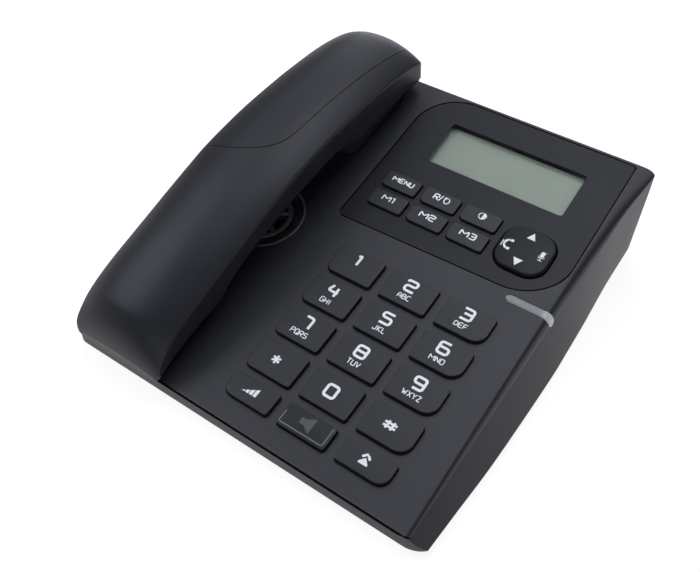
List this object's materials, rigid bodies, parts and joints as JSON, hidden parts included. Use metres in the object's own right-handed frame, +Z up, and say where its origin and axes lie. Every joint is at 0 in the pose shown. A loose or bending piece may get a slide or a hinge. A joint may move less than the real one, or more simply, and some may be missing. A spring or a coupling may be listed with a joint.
{
  "type": "corded telephone",
  "caption": "Desk telephone: wedge base with keypad, display panel, navigation key and cradle, with a separate handset that lifts off.",
  "frame": {"origin": "middle of the footprint, on the surface that the telephone stands on", "axes": "+Z up, +Y towards the high rear edge, +X to the right of someone using it; the handset lies on the -X side"},
  "size_m": [0.1778, 0.2032, 0.0754],
  "materials": {
    "housing_plastic": "fine spark texture, satin sheen",
    "panel_plastic": "smooth satin",
    "key_plastic": "smooth satin with white printed legends",
    "gloss_key_plastic": "polished, white printed symbols",
    "clear_dark_plastic": "smoked, polished",
    "inner_plastic": "plain moulded",
    "window": "clear, polished",
    "display": "grey-green reflective display",
    "rubber": "matt",
    "circuit_board": "green solder mask",
    "lens_plastic": "frosted light grey",
    "steel": "plain zinc-plated"
  },
  "bodies": {
    "base": {"lower_housing": "housing_plastic", "upper_housing": "housing_plastic", "display_panel": "panel_plastic", "display_window": "window", "display_module": "display", "keypad_mat": "rubber", "panel_key_mat": "rubber", "main_board": "circuit_board", "display_board": "circuit_board", "ring_lamp_lens": "lens_plastic", "ring_lamp": "lens_plastic", "loudspeaker": "steel", "hook_switch": "inner_plastic", "base_microphone": "steel", "ballast_plate": "steel", "line_jack": "inner_plastic", "cord_jack": "inner_plastic", "foot_1": "rubber", "foot_2": "rubber", "foot_3": "rubber", "foot_4": "rubber", "base_screw_1": "steel", "base_screw_2": "steel", "base_screw_3": "steel", "base_screw_4": "steel"},
    "key_1": {"key_1": "key_plastic"},
    "key_2": {"key_2": "key_plastic"},
    "key_3": {"key_3": "key_plastic"},
    "key_4": {"key_4": "key_plastic"},
    "key_5": {"key_5": "key_plastic"},
    "key_6": {"key_6": "key_plastic"},
    "key_7": {"key_7": "key_plastic"},
    "key_8": {"key_8": "key_plastic"},
    "key_9": {"key_9": "key_plastic"},
    "key_star": {"key_star": "key_plastic"},
    "key_0": {"key_0": "key_plastic"},
    "key_hash": {"key_hash": "key_plastic"},
    "volume_key": {"volume_key": "key_plastic"},
    "speaker_key": {"speaker_key": "clear_dark_plastic"},
    "flash_key": {"flash_key": "key_plastic"},
    "menu_key": {"menu_key": "key_plastic"},
    "redial_key": {"redial_key": "key_plastic"},
    "contrast_key": {"contrast_key": "key_plastic"},
    "memory_key_1": {"memory_key_1": "key_plastic"},
    "memory_key_2": {"memory_key_2": "key_plastic"},
    "memory_key_3": {"memory_key_3": "key_plastic"},
    "navigation_pivot": {"navigation_pivot": "inner_plastic"},
    "navigation_key": {"navigation_key": "gloss_key_plastic"},
    "hook_plunger": {"hook_plunger": "inner_plastic"},
    "hook_tab": {"hook_tab": "inner_plastic"},
    "handset": {"handset_top_shell": "housing_plastic", "handset_ear_inlay": "housing_plastic", "handset_bottom_shell": "housing_plastic", "receiver_capsule": "steel", "transmitter_capsule": "steel", "handset_weight": "steel", "handset_jack": "inner_plastic", "handset_screw_1": "steel", "handset_screw_2": "steel"}
  },
  "joints": [
    {"name": "key_1_press", "type": "slide", "parent": "base", "child": "key_1", "axis": [0, 0.1865, -0.9825], "range_m": [0, 0.0012], "stiffness_N_per_m": 400, "springref_m": -0.0005},
    {"name": "key_2_press", "type": "slide", "parent": "base", "child": "key_2", "axis": [0, 0.1865, -0.9825], "range_m": [0, 0.0012], "stiffness_N_per_m": 400, "springref_m": -0.0005},
    {"name": "key_3_press", "type": "slide", "parent": "base", "child": "key_3", "axis": [0, 0.1865, -0.9825], "range_m": [0, 0.0012], "stiffness_N_per_m": 400, "springref_m": -0.0005},
    {"name": "key_4_press", "type": "slide", "parent": "base", "child": "key_4", "axis": [0, 0.1764, -0.9843], "range_m": [0, 0.0012], "stiffness_N_per_m": 400, "springref_m": -0.0005},
    {"name": "key_5_press", "type": "slide", "parent": "base", "child": "key_5", "axis": [0, 0.1764, -0.9843], "range_m": [0, 0.0012], "stiffness_N_per_m": 400, "springref_m": -0.0005},
    {"name": "key_6_press", "type": "slide", "parent": "base", "child": "key_6", "axis": [0, 0.1764, -0.9843], "range_m": [0, 0.0012], "stiffness_N_per_m": 400, "springref_m": -0.0005},
    {"name": "key_7_press", "type": "slide", "parent": "base", "child": "key_7", "axis": [0, 0.1663, -0.9861], "range_m": [0, 0.0012], "stiffness_N_per_m": 400, "springref_m": -0.0005},
    {"name": "key_8_press", "type": "slide", "parent": "base", "child": "key_8", "axis": [0, 0.1663, -0.9861], "range_m": [0, 0.0012], "stiffness_N_per_m": 400, "springref_m": -0.0005},
    {"name": "key_9_press", "type": "slide", "parent": "base", "child": "key_9", "axis": [0, 0.1663, -0.9861], "range_m": [0, 0.0012], "stiffness_N_per_m": 400, "springref_m": -0.0005},
    {"name": "key_star_press", "type": "slide", "parent": "base", "child": "key_star", "axis": [0, 0.1562, -0.9877], "range_m": [0, 0.0012], "stiffness_N_per_m": 400, "springref_m": -0.0005},
    {"name": "key_0_press", "type": "slide", "parent": "base", "child": "key_0", "axis": [0, 0.1562, -0.9877], "range_m": [0, 0.0012], "stiffness_N_per_m": 400, "springref_m": -0.0005},
    {"name": "key_hash_press", "type": "slide", "parent": "base", "child": "key_hash", "axis": [0, 0.1562, -0.9877], "range_m": [0, 0.0012], "stiffness_N_per_m": 400, "springref_m": -0.0005},
    {"name": "volume_key_press", "type": "slide", "parent": "base", "child": "volume_key", "axis": [0, 0.1473, -0.9891], "range_m": [0, 0.0012], "stiffness_N_per_m": 400, "springref_m": -0.0005},
    {"name": "speaker_key_press", "type": "slide", "parent": "base", "child": "speaker_key", "axis": [0, 0.1473, -0.9891], "range_m": [0, 0.0012], "stiffness_N_per_m": 400, "springref_m": -0.0005},
    {"name": "flash_key_press", "type": "slide", "parent": "base", "child": "flash_key", "axis": [0, 0.1473, -0.9891], "range_m": [0, 0.0012], "stiffness_N_per_m": 400, "springref_m": -0.0005},
    {"name": "menu_key_press", "type": "slide", "parent": "base", "child": "menu_key", "axis": [0, 0.2134, -0.977], "range_m": [0, 0.001], "stiffness_N_per_m": 400, "springref_m": -0.0005},
    {"name": "redial_key_press", "type": "slide", "parent": "base", "child": "redial_key", "axis": [0, 0.2134, -0.977], "range_m": [0, 0.001], "stiffness_N_per_m": 400, "springref_m": -0.0005},
    {"name": "contrast_key_press", "type": "slide", "parent": "base", "child": "contrast_key", "axis": [0, 0.2134, -0.977], "range_m": [0, 0.001], "stiffness_N_per_m": 400, "springref_m": -0.0005},
    {"name": "memory_key_1_press", "type": "slide", "parent": "base", "child": "memory_key_1", "axis": [0, 0.2069, -0.9784], "range_m": [0, 0.001], "stiffness_N_per_m": 400, "springref_m": -0.0005},
    {"name": "memory_key_2_press", "type": "slide", "parent": "base", "child": "memory_key_2", "axis": [0, 0.2069, -0.9784], "range_m": [0, 0.001], "stiffness_N_per_m": 400, "springref_m": -0.0005},
    {"name": "memory_key_3_press", "type": "slide", "parent": "base", "child": "memory_key_3", "axis": [0, 0.2069, -0.9784], "range_m": [0, 0.001], "stiffness_N_per_m": 400, "springref_m": -0.0005},
    {"name": "navigation_rock_sideways", "type": "hinge", "parent": "base", "child": "navigation_pivot", "pos_m": [0.05512, 0.03499, 0.0283], "axis": [0, 0.9777, 0.2101], "range_deg": [-2.5, 2.5], "stiffness_Nm_per_rad": 0.08},
    {"name": "navigation_rock_fore_aft", "type": "hinge", "parent": "navigation_pivot", "child": "navigation_key", "pos_m": [0.05512, 0.03499, 0.0283], "axis": [1, 0, 0], "range_deg": [-2.5, 2.5], "stiffness_Nm_per_rad": 0.08},
    {"name": "handset_lift", "type": "slide", "parent": "base", "child": "handset", "axis": [0, -0.1392, 0.9903], "range_m": [0, 0.06]},
    {"name": "hook_plunger_rise", "type": "slide", "parent": "base", "child": "hook_plunger", "axis": [0, -0.1392, 0.9903], "range_m": [0, 0.004]},
    {"name": "hook_tab_lift", "type": "slide", "parent": "base", "child": "hook_tab", "axis": [0, -0.2099, 0.9777], "range_m": [0, 0.006]}
  ],
  "couplings": [
    {"joint": "hook_plunger_rise", "follows": "handset_lift", "ratio": 0.066667}
  ]
}
